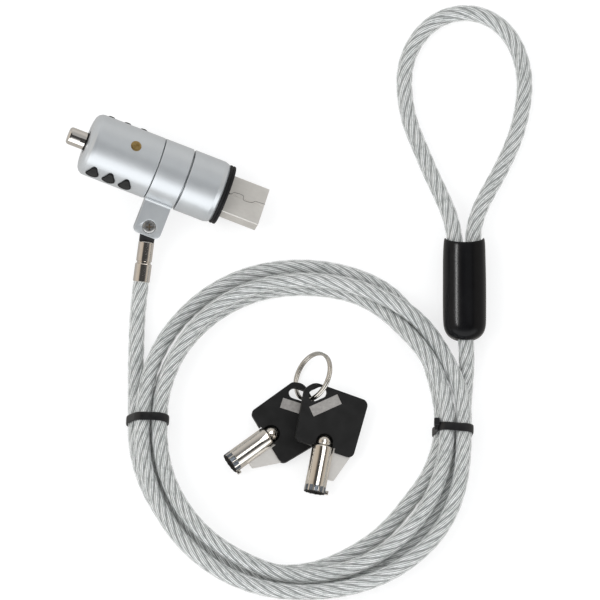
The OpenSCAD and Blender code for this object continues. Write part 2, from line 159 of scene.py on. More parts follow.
def revolve(profile, n, close=False):
    """Points and faces of a profile of (along, radius) turned about X."""
    prof = np.asarray(profile, float)
    a = np.linspace(0, 2 * math.pi, n, endpoint=False)
    v = np.array([(x, r * math.cos(t), r * math.sin(t)) for t in a for x, r in prof])
    k = len(prof)
    f = []
    for i in range(n):
        j = (i + 1) % n
        for q in range(k if close else k - 1):
            w = (q + 1) % k
            f.append((i * k + q, i * k + w, j * k + w, j * k + q))
    return v, f


def spline(points, step):
    """A natural cubic spline through the points, sampled about every step."""
    p = np.asarray(points, float)
    s = np.r_[0, np.cumsum(np.linalg.norm(np.diff(p, axis=0), axis=1))]
    n, h = len(p), np.diff(s)
    a = np.zeros((n, n))
    b = np.zeros((n, 3))
    a[0, 0] = a[-1, -1] = 1
    for i in range(1, n - 1):
        a[i, i - 1], a[i, i], a[i, i + 1] = h[i - 1], 2 * (h[i - 1] + h[i]), h[i]
        b[i] = 6 * ((p[i + 1] - p[i]) / h[i] - (p[i] - p[i - 1]) / h[i - 1])
    m = np.linalg.solve(a, b)
    count = int(round(s[-1] / step))
    t = np.linspace(0, s[-1], count + 1)
    k = np.clip(np.searchsorted(s, t, side="right") - 1, 0, n - 2)
    hk, u, w = h[k][:, None], (s[k + 1] - t)[:, None], (t - s[k])[:, None]
    return (m[k] * u**3 + m[k + 1] * w**3) / (6 * hk) + (p[k] / hk - m[k] * hk / 6) * u + (p[k + 1] / hk - m[k + 1] * hk / 6) * w


def even(line, step):
    s = np.r_[0, np.cumsum(np.linalg.norm(np.diff(line, axis=0), axis=1))]
    t = np.linspace(0, s[-1], int(round(s[-1] / step)) + 1)
    return np.column_stack([np.interp(t, s, line[:, k]) for k in range(3)]), t


def frames(line):
    """Tangent and two side directions along a line, without twist."""
    t = np.gradient(line, axis=0)
    t /= np.linalg.norm(t, axis=1)[:, None]
    u = np.zeros_like(t)
    a = np.cross(t[0], [0, 0, 1.0])
    u[0] = a / np.linalg.norm(a)
    for i in range(1, len(t)):
        w = u[i - 1] - t[i] * np.dot(u[i - 1], t[i])
        u[i] = w / np.linalg.norm(w)
    return t, u, np.cross(t, u)


def tube(line, radius, sides, ang0=0.0):
    """A tube of fixed or per-angle radius along a line; radius may be a function of angle."""
    t, u, v = frames(line)
    a = np.linspace(0, 2 * math.pi, sides, endpoint=False)
    c, s = np.cos(a), np.sin(a)
    pts = line[:, None, :] + radius * (c[None, :, None] * u[:, None, :] + s[None, :, None] * v[:, None, :])
    return pts.reshape(-1, 3), grid_faces(len(line), sides)


def grid_faces(n, k, wrap=True):
    f = []
    for i in range(n - 1):
        for j in range(k if wrap else k - 1):
            q = (j + 1) % k
            f.append((i * k + j, i * k + q, (i + 1) * k + q, (i + 1) * k + j))
    return f


# ---------------------------------------------------------------------------
# Material helpers
# ---------------------------------------------------------------------------


class Nodes:
    """Short names for building a node material."""

    def __init__(self, name):
        self.mat = bpy.data.materials.new(name)
        self.mat.use_nodes = True
        self.t = self.mat.node_tree
        self.t.nodes.clear()
        self.out = self.t.nodes.new("ShaderNodeOutputMaterial")
        self.bsdf = self.t.nodes.new("ShaderNodeBsdfPrincipled")
        self.t.links.new(self.bsdf.outputs[0], self.out.inputs[0])

    def add(self, kind, **props):
        n = self.t.nodes.new(kind)
        for k, v in props.items():
            setattr(n, k, v)
        return n

    def link(self, a, b):
        self.t.links.new(a, b)
        return b

    def put(self, name, value):
        if isinstance(value, bpy.types.NodeSocket):
            self.link(value, self.bsdf.inputs[name])
        else:
            self.bsdf.inputs[name].default_value = value

    def coords(self, frame=None, stretch=(1, 1, 1)):
        """Object coordinates in millimetres, in a part's own frame, stretched."""
        tc = self.add("ShaderNodeTexCoord")
        v = tc.outputs["Object"]
        if frame is not None:
            m = frame.inverted()
            loc, rot, sc = m.decompose()
            mp = self.add("ShaderNodeMapping", vector_type="POINT")
            mp.inputs["Location"].default_value = loc
            mp.inputs["Rotation"].default_value = rot.to_euler("XYZ")
            mp.inputs["Scale"].default_value = sc
            self.link(v, mp.inputs["Vector"])
            v = mp.outputs[0]
        else:
            sc = self.add("ShaderNodeVectorMath", operation="SCALE")
            self.link(v, sc.inputs[0])
            sc.inputs["Scale"].default_value = 1000.0
            v = sc.outputs[0]
        if tuple(stretch) != (1, 1, 1):
            mu = self.add("ShaderNodeVectorMath", operation="MULTIPLY")
            self.link(v, mu.inputs[0])
            mu.inputs[1].default_value = stretch
            v = mu.outputs[0]
        return v

    def noise(self, vec, scale, detail=3, rough=0.55, distort=0.0):
        n = self.add("ShaderNodeTexNoise")
        self.link(vec, n.inputs["Vector"])
        n.inputs["Scale"].default_value = scale
        n.inputs["Detail"].default_value = detail
        n.inputs["Roughness"].default_value = rough
        n.inputs["Distortion"].default_value = distort
        return n.outputs["Fac"]

    def ramp(self, fac, stops, interp="LINEAR"):
        r = self.add("ShaderNodeValToRGB")
        r.color_ramp.interpolation = interp
        e = r.color_ramp.elements
        while len(e) < len(stops):
            e.new(0.5)
        for k, (p, c) in enumerate(stops):
            e[k].position = p
            e[k].color = (*c, 1) if len(c) == 3 else (c[0], c[0], c[0], 1)
        self.link(fac, r.inputs[0])
        return r.outputs[0]

    def span(self, fac, lo, hi, a=0.3, b=0.7):
        m = self.add("ShaderNodeMapRange")
        self.link(fac, m.inputs[0])
        for k, v in zip(range(1, 5), (a, b, lo, hi)):
            m.inputs[k].default_value = v
        return m.outputs[0]

    def math(self, op, a, b=0.0, c=None):
        m = self.add("ShaderNodeMath", operation=op)
        for k, v in enumerate((a, b) if c is None else (a, b, c)):
            if isinstance(v, bpy.types.NodeSocket):
                self.link(v, m.inputs[k])
            else:
                m.inputs[k].default_value = v
        return m.outputs[0]

    def mix(self, fac, a, b):
        m = self.add("ShaderNodeMix", data_type="RGBA")
        for sock, v in ((m.inputs[0], fac), (m.inputs[6], a), (m.inputs[7], b)):
            if isinstance(v, bpy.types.NodeSocket):
                self.link(v, sock)
            elif isinstance(v, (tuple, list)):
                sock.default_value = (*v, 1) if len(v) == 3 else v
            else:
                sock.default_value = v
        return m.outputs[2]

    def split(self, vec):
        s = self.add("ShaderNodeSeparateXYZ")
        self.link(vec, s.inputs[0])
        return s.outputs

    def bump(self, height, strength, distance, chain=None):
        b = self.add("ShaderNodeBump")
        b.inputs["Strength"].default_value = strength
        b.inputs["Distance"].default_value = distance
        self.link(height, b.inputs["Height"])
        if chain is not None:
            self.link(chain, b.inputs["Normal"])
        return b.outputs[0]


def surface(name, dark, light, metallic, rough, frame=None, stretch=(1, 1, 1), grain=4.0, bump=0.15, depth=0.02,
            blot=0.35, coat=0.0, coat_rough=0.1, spec=0.5, alpha=1.0):
    """A finish with slow colour drift, fine grain in its roughness, and fine relief."""
    n = Nodes(name)
    v = n.coords(frame, stretch)
    plain = n.coords(frame)
    drift = n.noise(plain, blot, 3)
    fine = n.noise(v, grain, 4, 0.6)
    both = n.math("ADD", n.math("MULTIPLY", drift, 0.6), n.math("MULTIPLY", fine, 0.4))
    n.put("Base Color", n.ramp(both, [(0.34, dark), (0.66, light)]))
    n.put("Metallic", metallic)
    n.put("Roughness", n.span(both, rough[0], rough[1]))
    n.put("Specular IOR Level", spec)
    if coat:
        n.put("Coat Weight", coat)
        n.put("Coat Roughness", coat_rough)
    if alpha < 1:
        n.put("Alpha", alpha)
    if bump:
        n.put("Normal", n.bump(fine, bump, depth * MM))
    return n.mat

# ---------------------------------------------------------------------------
# Materials
# ---------------------------------------------------------------------------
BR = math.radians


def rope_steel():
    """Galvanised wire strands. U runs along the rope in centimetres, V counts strands."""
    n = Nodes("rope_steel")
    uv = n.add("ShaderNodeUVMap", uv_map="UVMap")
    u, v, _ = n.split(uv.outputs[0])
    strand = n.math("FRACT", v)
    off = n.math("ABSOLUTE", n.math("SUBTRACT", strand, 0.5))      # 0 on a strand's crown, 0.5 in a valley
    wires = n.math("ADD", n.math("MULTIPLY", strand, 4.0), n.math("MULTIPLY", u, 3.1))
    wave = n.math("SINE", n.math("MULTIPLY", wires, 2 * math.pi))
    crown = n.span(wave, 0.0, 1.0, -1.0, 1.0)
    v3 = n.coords()
    drift = n.noise(v3, 0.09, 3)
    patch = n.noise(v3, 0.55, 3, 0.6)
    # streaks that follow the wires
    lie = n.add("ShaderNodeCombineXYZ")
    n.link(n.math("MULTIPLY", u, 3.2), lie.inputs[0])
    n.link(n.math("MULTIPLY", n.math("ADD", v, n.math("MULTIPLY", u, 0.62)), 5.0), lie.inputs[1])
    spark = n.noise(lie.outputs[0], 1.6, 3, 0.7)
    tone = n.math("ADD", n.math("MULTIPLY", patch, 0.35), n.math("ADD", n.math("MULTIPLY", spark, 0.55), n.math("MULTIPLY", drift, 0.1)))
    steel = n.ramp(tone, [(0.36, (0.30, 0.315, 0.31)), (0.46, (0.74, 0.765, 0.755)), (0.58, (1.0, 1.0, 1.0))])
    # painted shade: the valleys between strands and the gaps between wires are darkened towards near-black
    valley_shade = n.span(off, 1.0, 0.14, 0.30, 0.48)
    wire_gap_shade = n.span(crown, 0.12, 1.0, 0.0, 0.5)
    shade = n.math("MULTIPLY", valley_shade, wire_gap_shade)
    n.put("Base Color", n.mix(shade, (0.10, 0.107, 0.104), steel))
    n.put("Metallic", 0.35)
    n.put("Roughness", n.span(spark, 0.28, 0.48))
    n.put("Normal", n.bump(crown, 0.5, 0.05 * MM))
    return n.mat


def clear_jacket():
    """Clear soft plastic skin, faintly milky, with fine scuffs."""
    n = Nodes("clear_jacket")
    v = n.coords()
    haze = n.noise(v, 0.35, 3)
    scuff = n.noise(v, 1.9, 4, 0.65)
    n.put("Base Color", n.ramp(haze, [(0.35, (0.80, 0.83, 0.81)), (0.65, (0.90, 0.91, 0.89))]))
    n.put("Roughness", n.span(scuff, 0.10, 0.22))
    n.put("Alpha", n.span(haze, 0.12, 0.18))
    n.put("IOR", 1.5)
    n.put("Normal", n.bump(haze, 0.12, 0.06 * MM))
    return n.mat


SATIN = surface("satin_silver", (0.60, 0.625, 0.645), (0.65, 0.675, 0.69), 0.55, (0.29, 0.36), HEAD_B, (1, 1, 1), 7.0, 0.10, 0.010, 0.16)
SATIN_COLLAR = surface("satin_silver_collar", (0.60, 0.625, 0.645), (0.65, 0.675, 0.69), 0.55, (0.29, 0.36), HEAD_C, (1, 1, 1), 7.0, 0.10, 0.010, 0.16)
GASKET = surface("gasket_rubber", (0.007, 0.007, 0.008), (0.015, 0.015, 0.016), 0.0, (0.45, 0.6), HEAD_B, (1, 1, 1), 5.0, 0.2, 0.01, spec=0.22)
PAD_RIM = surface("pad_rim_rubber", (0.004, 0.004, 0.005), (0.010, 0.010, 0.011), 0.0, (0.4, 0.55), HEAD_B, (1, 1, 1), 6.0, 0.2, 0.008, spec=0.2)
PAD_FACE = surface("pad_face_rubber", (0.018, 0.0185, 0.018), (0.034, 0.0345, 0.034), 0.0, (0.6, 0.75), HEAD_B, (1, 1, 1), 9.0, 0.3, 0.012, 0.8, spec=0.2)
NICKEL = surface("plug_nickel", (0.66, 0.635, 0.595), (0.75, 0.725, 0.68), 0.5, (0.30, 0.40), HEAD_B, (0.4, 3.5, 3.5), 3.0, 0.12, 0.006, 0.3)
SEAM = surface("plug_seam_shadow", (0.10, 0.09, 0.08), (0.20, 0.185, 0.17), 0.3, (0.5, 0.7), HEAD_B, (1, 1, 1), 3.0, 0.0, 0.0, 2.0)
BLOCK = surface("plug_block_plastic", (0.018, 0.018, 0.02), (0.035, 0.035, 0.038), 0.0, (0.4, 0.55), HEAD_B, (1, 1, 1), 5.0, 0.2, 0.01)
BRASS = surface("brass", (0.30, 0.19, 0.06), (0.55, 0.40, 0.17), 0.9, (0.30, 0.48), HEAD_B, (1, 1, 1), 2.2, 0.2, 0.015, 0.9)
BRASS_PIN = surface("brass_tumblers", (0.50, 0.38, 0.18), (0.62, 0.50, 0.27), 0.9, (0.25, 0.4), HEAD_B, (1, 6, 6), 2.0, 0.1, 0.01, 0.9)
CHROME_POST = surface("chrome_post", (0.80, 0.765, 0.72), (0.86, 0.83, 0.79), 1.0, (0.07, 0.13), HEAD_B, (0.3, 3, 3), 2.0, 0.03, 0.004, 0.4)
STEEL = surface("machined_steel", (0.42, 0.42, 0.43), (0.56, 0.56, 0.57), 1.0, (0.24, 0.38), HEAD_B, (0.5, 5, 5), 2.0, 0.12, 0.008, 0.5)
SPRING = surface("spring_wire", (0.40, 0.40, 0.41), (0.52, 0.52, 0.53), 1.0, (0.22, 0.32), HEAD_B, (1, 1, 1), 5.0, 0.1, 0.006, 0.6)
SCREW = surface("screw_steel", (0.30, 0.30, 0.30), (0.56, 0.555, 0.54), 0.9, (0.22, 0.36), HEAD_C, (1, 1, 1), 3.0, 0.2, 0.012, 1.1)
SOCKET = surface("screw_recess", (0.20, 0.15, 0.10), (0.34, 0.27, 0.20), 0.7, (0.35, 0.5), HEAD_C, (1, 1, 1), 4.0, 0.2, 0.01, 1.4)
EYELET = surface("eyelet_black", (0.012, 0.012, 0.013), (0.03, 0.03, 0.031), 0.0, (0.35, 0.5), LUG, (1, 1, 1), 5.0, 0.2, 0.01)
CHROME_FERRULE = surface("chrome_ferrule", (0.78, 0.735, 0.685), (0.85, 0.81, 0.765), 1.0, (0.08, 0.15), LUG, (3, 0.3, 3), 2.0, 0.05, 0.0, 0.5)
CHROME_KEY = surface("chrome_key", (0.78, 0.735, 0.67), (0.86, 0.82, 0.76), 1.0, (0.07, 0.13), None, (1, 1, 1), 1.4, 0.05, 0.0, 0.3)
KEY_CUTS = surface("key_cut_steel", (0.07, 0.08, 0.095), (0.20, 0.22, 0.245), 0.7, (0.3, 0.45), None, (1, 1, 1), 3.0, 0.2, 0.01, 1.5)
# near-black finish for the tube's bore, end face and rounded lip: painted shade inside the bore
KEY_BORE_SHADE = surface("key_bore_shade", (0.012, 0.011, 0.010), (0.035, 0.032, 0.028), 0.4, (0.45, 0.6), None, (1, 1, 1), 3.0, 0.1, 0.01, 1.0)
KEY_FIN = surface("key_fin_steel", (0.70, 0.675, 0.64), (0.77, 0.745, 0.71), 0.35, (0.28, 0.36), None, (1, 1, 1), 1.2, 0.0, 0.0, 0.12)
KEY_PLATE = surface("key_plate_brushed", (0.44, 0.42, 0.40), (0.66, 0.635, 0.61), 0.6, (0.28, 0.46), KEY_F, (5, 0.6, 1), 1.6, 0.3, 0.012, 0.8)
BOW = surface("key_bow_plastic", (0.009, 0.009, 0.009), (0.016, 0.016, 0.016), 0.0, (0.46, 0.6), None, (1, 1, 1), 7.0, 0.3, 0.014, 0.3, spec=0.3)
RING_STEEL = surface("ring_steel", (0.62, 0.59, 0.54), (0.74, 0.715, 0.67), 1.0, (0.10, 0.2), None, (1, 1, 1), 3.0, 0.08, 0.006, 0.4)
SLEEVE = surface("sleeve_vinyl", (0.0025, 0.0025, 0.003), (0.0045, 0.0045, 0.005), 0.0, (0.20, 0.25), None, (1, 1, 1), 0.5, 0.05, 0.0, 0.12, spec=0.16)
CRIMP = surface("crimp_aluminium", (0.50, 0.50, 0.51), (0.62, 0.62, 0.63), 1.0, (0.3, 0.45), None, (1, 1, 1), 2.0, 0.2, 0.02, 0.4)
TIE = surface("tie_nylon", (0.006, 0.006, 0.007), (0.014, 0.014, 0.015), 0.0, (0.34, 0.46), None, (1, 1, 1), 4.0, 0.15, 0.012, 0.5)
ROPE = rope_steel()
JACKET = clear_jacket()

FINISH = {
    "rear_housing": SATIN, "nose_housing": SATIN, "swivel_collar": SATIN_COLLAR,
    "gasket_ring": GASKET, "plug_shell": NICKEL, "plug_block": BLOCK,
    "retaining_pin": BRASS, "grip_pads": PAD_FACE, "lock_cylinder": BRASS,
    "tumbler_pins": BRASS_PIN, "claw_pivot_pin": STEEL, "key_post": CHROME_POST,
    "push_rod": STEEL, "return_spring": SPRING, "locking_claw": STEEL,
    "clevis_screw": SCREW, "clevis_nut": SCREW, "cable_eyelet": EYELET, "eyelet_bush": EYELET,
    "cable_ferrule": CHROME_FERRULE, "rope_end": ROPE, "cable_lead": ROPE, "cable_coil": ROPE,
    "cable_loop": ROPE, "loop_sleeve": SLEEVE, "loop_crimp": CRIMP, "cable_tie_left": TIE,
    "cable_tie_right": TIE, "split_ring": RING_STEEL,
    "front_key_bow": BOW, "back_key_bow": BOW, "front_key_plate": KEY_PLATE, "back_key_plate": KEY_PLATE,
    "front_key_shank": CHROME_KEY, "back_key_shank": CHROME_KEY, "front_key_fin": KEY_FIN, "back_key_fin": KEY_FIN,
}
for name, ob in NODES.items():
    ob.data.materials.clear()
    ob.data.materials.append(FINISH[name])


def soften(name, width, angle=40, segments=3):
    """Rounds the crisp edges of a CAD node without touching its mesh."""
    ob = NODES[name]
    w = ob.modifiers.new("weld", "WELD")
    w.merge_threshold = 0.002 * MM
    b = ob.modifiers.new("bevel", "BEVEL")
    b.width = width * MM
    b.segments = segments
    b.limit_method = "ANGLE"
    b.angle_limit = math.radians(angle)
    b.use_clamp_overlap = True
    b.harden_normals = False
    n = ob.modifiers.new("normals", "WEIGHTED_NORMAL")
    n.keep_sharp = False
    return ob


for name, width in (("front_key_bow", 0.36), ("back_key_bow", 0.36), ("front_key_plate", 0.05), ("back_key_plate", 0.05),
                    ("front_key_fin", 0.1), ("back_key_fin", 0.1)):
    soften(name, width)

# ---------------------------------------------------------------------------
# The wire rope: its route is the CAD route, refined turn by turn (millimetres)
# ---------------------------------------------------------------------------
ROUTE = [
    (-21.52, 8.51, 3.55), (-22.37, 0.58, 2.7), (-22.78, -7.42, 2.45), (-22.94, -15.48, 2.4),
    (-22.94, -23.48, 2.45), (-22.94, -31.45, 3.04), (-22.6, -39.43, 2.79), (-20.87, -47.22, 2.46),
    (-17.79, -54.58, 2.4), (-13.37, -61.23, 2.4), (-7.61, -66.76, 2.4), (-0.95, -71.16, 2.4),
    (6.36, -74.38, 2.4), (14.15, -76.12, 2.4), (22.13, -76.47, 2.4), (29.96, -74.97, 2.4),
    (37.3, -71.82, 2.4), (44.05, -67.55, 2.4), (49.97, -62.18, 2.4), (54.97, -55.95, 2.41),
    (59.57, -49.42, 2.4), (62.77, -42.11, 2.62), (64.22, -34.28, 3), (63.77, -26.33, 2.5),
    (61.99, -18.54, 2.4), (59.45, -10.96, 2.4), (56.23, -3.65, 2.4), (51.86, 3.02, 2.41),
    (45.55, 7.86, 2.4), (38.18, 10.93, 2.4), (30.38, 12.64, 2.4), (22.4, 13.05, 2.4),
    (14.46, 12.19, 2.4), (6.79, 9.98, 2.4), (-0.32, 6.35, 2.46), (-6.58, 1.42, 2.91),
    (-11.86, -4.53, 3.67), (-16.02, -11.28, 4.62), (-18.86, -18.66, 5.75), (-20.38, -26.43, 6.81),
    (-21.04, -34.38, 7.24), (-20.85, -42.36, 7.13), (-19.17, -50.17, 7.1), (-16.42, -57.62, 7.85),
    (-12.65, -64.54, 9.16), (-7.73, -70.75, 10.18), (-1.76, -76.02, 10.81), (5.14, -80.02, 10.65),
    (12.66, -82.5, 9.69), (20.5, -83.57, 8.58), (28.45, -83.43, 7.8), (36.32, -82.25, 7.13),
    (43.93, -79.91, 6.52), (51.06, -76.35, 6), (57.45, -71.57, 5.65), (62.81, -65.65, 5.5),
    (66.74, -58.72, 5.75), (69.1, -51.13, 6.47), (70.14, -43.24, 7.18), (70.4, -35.26, 7.6),
    (69.98, -27.29, 7.58), (67.62, -19.7, 6.99), (64.07, -12.56, 6.45), (59.6, -5.96, 6.71),
    (53.73, -0.58, 7.1), (46.82, 3.42, 6.84), (39.35, 6.23, 6.83), (31.5, 7.71, 6.94),
    (23.52, 8.04, 6.98), (15.59, 7.1, 7.03), (7.99, 4.67, 7.07), (1.04, 0.75, 7.1),
    (-4.86, -4.62, 7.12), (-9.57, -11.07, 7.17), (-13.15, -18.21, 7.2), (-15.42, -25.86, 7.36),
    (-16.09, -33.81, 7.53), (-15.69, -41.78, 7.19), (-13.95, -49.56, 7.39), (-11.07, -56.67, 9.56),
    (-6.91, -63.27, 11.12), (-1.37, -69.01, 11.42), (5.23, -73.47, 11.05), (12.41, -76.58, 9.49),
    (19.99, -78.25, 7.67), (27.93, -78.34, 6.87), (35.77, -76.87, 6.58), (43.17, -73.9, 6.35),
    (49.86, -69.54, 6.24), (55.57, -63.96, 6.22), (60.12, -57.4, 6.2), (63.29, -50.08, 6.46),
    (65.06, -42.31, 6.94), (65.65, -34.36, 7.41), (65.03, -26.41, 7.23), (62.36, -18.9, 7.57),
    (58.35, -12.02, 7.23), (53.38, -5.98, 5.64), (48.14, -0.44, 3.26), (41.55, 3.9, 2.41),
    (33.92, 6.23, 2.4), (25.98, 7.06, 2.4), (18, 6.68, 2.4), (10.23, 4.85, 2.4),
    (2.99, 1.5, 2.4), (-3.45, -3.23, 2.4), (-8.84, -9.11, 2.4), (-13, -15.93, 2.46),
    (-15.81, -23.4, 2.69), (-17.21, -31.25, 3.02), (-17.08, -39.22, 2.77), (-15.46, -47.03, 2.47),
    (-12.84, -54.43, 3.78), (-9.63, -61.35, 6.11), (-4.94, -67.74, 6.94), (1.01, -73.06, 7.01),
    (7.7, -77.38, 6.37), (14.83, -80.37, 4.46), (22.51, -81.4, 2.64), (30.47, -80.89, 2.4),
    (38.22, -78.97, 2.4), (45.5, -75.69, 2.4), (52.09, -71.18, 2.4), (57.8, -65.59, 2.4),
    (62.46, -59.11, 2.43), (66.03, -51.96, 2.53), (68.45, -44.35, 2.71), (69.66, -36.47, 3.03),
    (70.33, -28.5, 2.96), (70.99, -20.56, 3.52), (71.25, -12.79, 5.34), (70.43, -4.93, 6.33),
    (68.92, 2.92, 6.4), (68.24, 10.87, 6.4), (68.09, 18.87, 6.34), (66.81, 26.7, 5.69),
    (64.08, 34.14, 4.62), (60.98, 41.44, 3.62), (58.04, 48.84, 2.95), (55.34, 56.36, 2.51),
    (53.95, 64.21, 2.4), (54.07, 72.17, 2.4), (56.73, 79.67, 2.4), (61.88, 85.71, 2.4),
    (69.04, 88.76, 2.4), (76.69, 87.91, 2.4), (83, 83.35, 2.4), (86.82, 76.38, 2.4),
    (88.28, 68.54, 2.4), (87.64, 60.58, 2.4), (85.82, 52.81, 2.67), (82.94, 45.38, 3.18),
    (79.45, 38.23, 3.94), (75.9, 31.16, 5.05), (73.57, 23.59, 6.09), (73.16, 15.63, 6.39),
    (73.16, 9.63, 6.4),
]
fine = spline(ROUTE, 0.25)
fine[:, 2] = np.maximum(fine[:, 2], 2.4)
for _ in range(3):
    fine[1:-1] = (fine[:-2] + 2 * fine[1:-1] + fine[2:]) / 4

# clear jacket
line, _ = even(fine, 1.5)
line *= MM
pts, fcs = tube(line, 2.38 * MM, 20)
fcs = fcs + [tuple(range(20))[::-1], tuple((len(line) - 1) * 20 + k for k in range(20))]
jacket = make("cable_jacket", pts, fcs, JACKET, "cable")

# fluted core of six strands, laid right-handed
PITCH, STRANDS, PER = 26.0, 6, 7
core_line, along = even(fine, 0.62)
core_line = core_line * MM
K = STRANDS * PER
t_, u_, v_ = frames(core_line)
base = np.arange(K) / K * 2 * math.pi
delta = (np.arange(K) % PER) / PER * 60.0 - 30.0 + 60.0 / (2 * PER)
d = np.radians(delta)
rad = (1.36 * np.cos(d) + np.sqrt(0.86**2 - (1.36 * np.sin(d)) ** 2)) * MM
ang = base[None, :] + 2 * math.pi * along[:, None] / PITCH
pts = core_line[:, None, :] + rad[None, :, None] * (np.cos(ang)[:, :, None] * u_[:, None, :] + np.sin(ang)[:, :, None] * v_[:, None, :])
fcs = grid_faces(len(core_line), K)
core = make("cable_strands", pts.reshape(-1, 3), fcs, ROPE, "cable")
uvl = core.data.uv_layers.new(name="UVMap")
vert_row = np.repeat(np.arange(len(core_line)), K)
co = np.zeros(len(core.data.loops), np.int32)
core.data.loops.foreach_get("vertex_index", co)
row, col = co // K, co % K
uu = along[row] / 10.0
vv = (col + 0.5) / PER
starts = np.zeros(len(core.data.polygons), np.int32)
core.data.polygons.foreach_get("loop_start", starts)
face_of = np.repeat(np.arange(len(starts)), 4)
vmax = np.zeros(len(starts)); np.maximum.at(vmax, face_of, vv)
wrapped = (vmax[face_of] - vv) > STRANDS / 2
vv = np.where(wrapped, vv + STRANDS, vv)
uvl.data.foreach_set("uv", np.column_stack([uu, vv]).astype(np.float32).ravel())
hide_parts("cable_lead", "cable_coil", "cable_loop")

# ---------------------------------------------------------------------------
# Sleeve over the crimped end of the loop
# ---------------------------------------------------------------------------
profile = [(0.55, 5.05), (0.12, 5.2), (0.0, 5.38), (0.1, 5.6), (0.5, 5.76), (1.6, 5.88), (3.5, 5.98), (7, 6.08), (12, 6.16), (18, 6.2),
           (23, 6.2), (25.4, 6.14), (26.8, 5.92), (27.9, 5.5), (28.8, 4.85), (29.45, 4.05), (29.85, 3.2), (30.0, 2.62), (29.7, 2.45),
           (27.5, 2.45), (26, 4.6), (24.5, 5.2), (12, 5.25), (3, 5.05)]
pts, fcs = revolve(profile, 72, close=True)
pts = np.array(pts)
# a little flatter where the two legs press from inside, and gently lumpy
a = np.arctan2(pts[:, 2], pts[:, 1])
wob = 1 + 0.012 * np.cos(2 * a) * np.clip(1 - pts[:, 0] / 22, 0, 1) + 0.006 * np.sin(pts[:, 0] * 0.45 + 1.3 * np.cos(a))
pts[:, 1:] *= wob[:, None]
# the upper mouth is cut back on top, the lower lip hangs over the cable on top
up = np.clip(np.sin(a), 0, 1)
pts[:, 0] += 2.7 * up * np.clip(1 - pts[:, 0] / 8, 0, 1) + 1.0 * up * np.clip((pts[:, 0] - 21) / 8, 0, 1)
sleeve = make("loop_sleeve_skin", pts, fcs, SLEEVE, "cable",
              matrix=LAYOUT @ Matrix.Translation((46.9, 16.7, 6.4)) @ Matrix.Rotation(-math.pi / 2, 4, "Z"))
sub = sleeve.modifiers.new("sub", "SUBSURF")
sub.levels = sub.render_levels = 1
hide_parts("loop_sleeve")


# ---------------------------------------------------------------------------
# Ties round the coil
# ---------------------------------------------------------------------------
def bundle_outline(angle, clear):
    """Hull of the turns of cable in the half-plane at that angle, in (radius, height)."""
    c0 = np.array([SHIFT.x, SHIFT.y - 39.2])
    rel = fine[:, :2] - c0
    e = np.array([math.cos(math.radians(angle)), math.sin(math.radians(angle))])
    side = rel @ np.array([-e[1], e[0]])
    out = rel @ e
    cuts = []
    for k in range(len(fine) - 1):
        if side[k] * side[k + 1] <= 0 and side[k] != side[k + 1] and 30 < out[k] < 56:
            w = side[k] / (side[k] - side[k + 1])
            cuts.append((out[k] + w * (out[k + 1] - out[k]), fine[k, 2] + w * (fine[k + 1, 2] - fine[k, 2])))
    ring = [(x + clear * math.cos(b), z + clear * math.sin(b)) for x, z in cuts for b in np.linspace(0, 2 * math.pi, 48, endpoint=False)]
    ring = sorted(ring)

    def half(points):
        h = []
        for p in points:
            while len(h) > 1 and (h[-1][0] - h[-2][0]) * (p[1] - h[-2][1]) - (h[-1][1] - h[-2][1]) * (p[0] - h[-2][0]) <= 0:
                h.pop()
            h.append(p)
        return h
    low, high = half(ring), half(ring[::-1])
    return np.array(low[:-1] + high[:-1])


def tie_band(name, angle, nub, seed):
    path = bundle_outline(angle, 2.44)
    closed = np.vstack([path, path[:1]])
    s = np.r_[0, np.cumsum(np.linalg.norm(np.diff(closed, axis=0), axis=1))]
    m = 240
    t = np.linspace(0, s[-1], m, endpoint=False)
    px = np.column_stack([np.interp(t, s, closed[:, k]) for k in range(2)])
    for _ in range(4):
        px = (np.roll(px, 1, axis=0) + 2 * px + np.roll(px, -1, axis=0)) / 4
    d = np.roll(px, -1, axis=0) - np.roll(px, 1, axis=0)
    nx = np.column_stack([d[:, 1], -d[:, 0]])
    nx /= np.linalg.norm(nx, axis=1)[:, None]
    # cross-section of the band: (outward, along the coil), rounded corners
    sec = [(0.0, -1.2), (0.16, -1.2), (0.24, -1.08), (0.28, -0.6), (0.29, 0.0), (0.28, 0.6), (0.24, 1.08), (0.16, 1.2), (0.0, 1.2), (-0.02, 0.0)]
    lean = 0.3 * np.sin(2 * math.pi * t / s[-1] + seed) + 0.1 * np.sin(6 * math.pi * t / s[-1] + 2 * seed)
    pts = []
    for i in range(m):
        for o, w in sec:
            rr, zz = px[i] + nx[i] * (o + 0.04)
            pts.append((rr, w + lean[i], zz))
    f = []
    k = len(sec)
    for i in range(m):
        j = (i + 1) % m
        for q in range(k):
            f.append((i * k + q, i * k + (q + 1) % k, j * k + (q + 1) % k, j * k + q))
    mat = LAYOUT @ Matrix.Translation((0, -39.2, 0)) @ Matrix.Rotation(math.radians(angle), 4, "Z")
    ob = make(name, pts, f, TIE, "cable", matrix=mat)
    sharp(ob, 50)
    return ob, mat


def rounded_box(name, size, at, matrix, mat, body, r=0.3, seg=3):
    bm = bmesh.new()
    bmesh.ops.create_cube(bm, size=1)
    bmesh.ops.scale(bm, vec=size, verts=bm.verts)
    bmesh.ops.bevel(bm, geom=bm.edges[:] + bm.verts[:], offset=r, segments=seg, profile=0.5, affect="EDGES")
    bmesh.ops.translate(bm, vec=at, verts=bm.verts)
    me = bpy.data.meshes.new(name)
    bm.to_mesh(me)
    bm.free()
    me.transform(matrix)
    for p in me.polygons:
        p.use_smooth = True
    ob = bpy.data.objects.new(name, me)
    scene.collection.objects.link(ob)
    me.materials.append(mat)
    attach(ob, body)
    return ob


tie_l, _ = tie_band("tie_left_band", 177, False, 0.4)
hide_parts("cable_tie_left")
tie_r, m_r = tie_band("tie_right_band", -1, True, 2.6)
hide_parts("cable_tie_right")
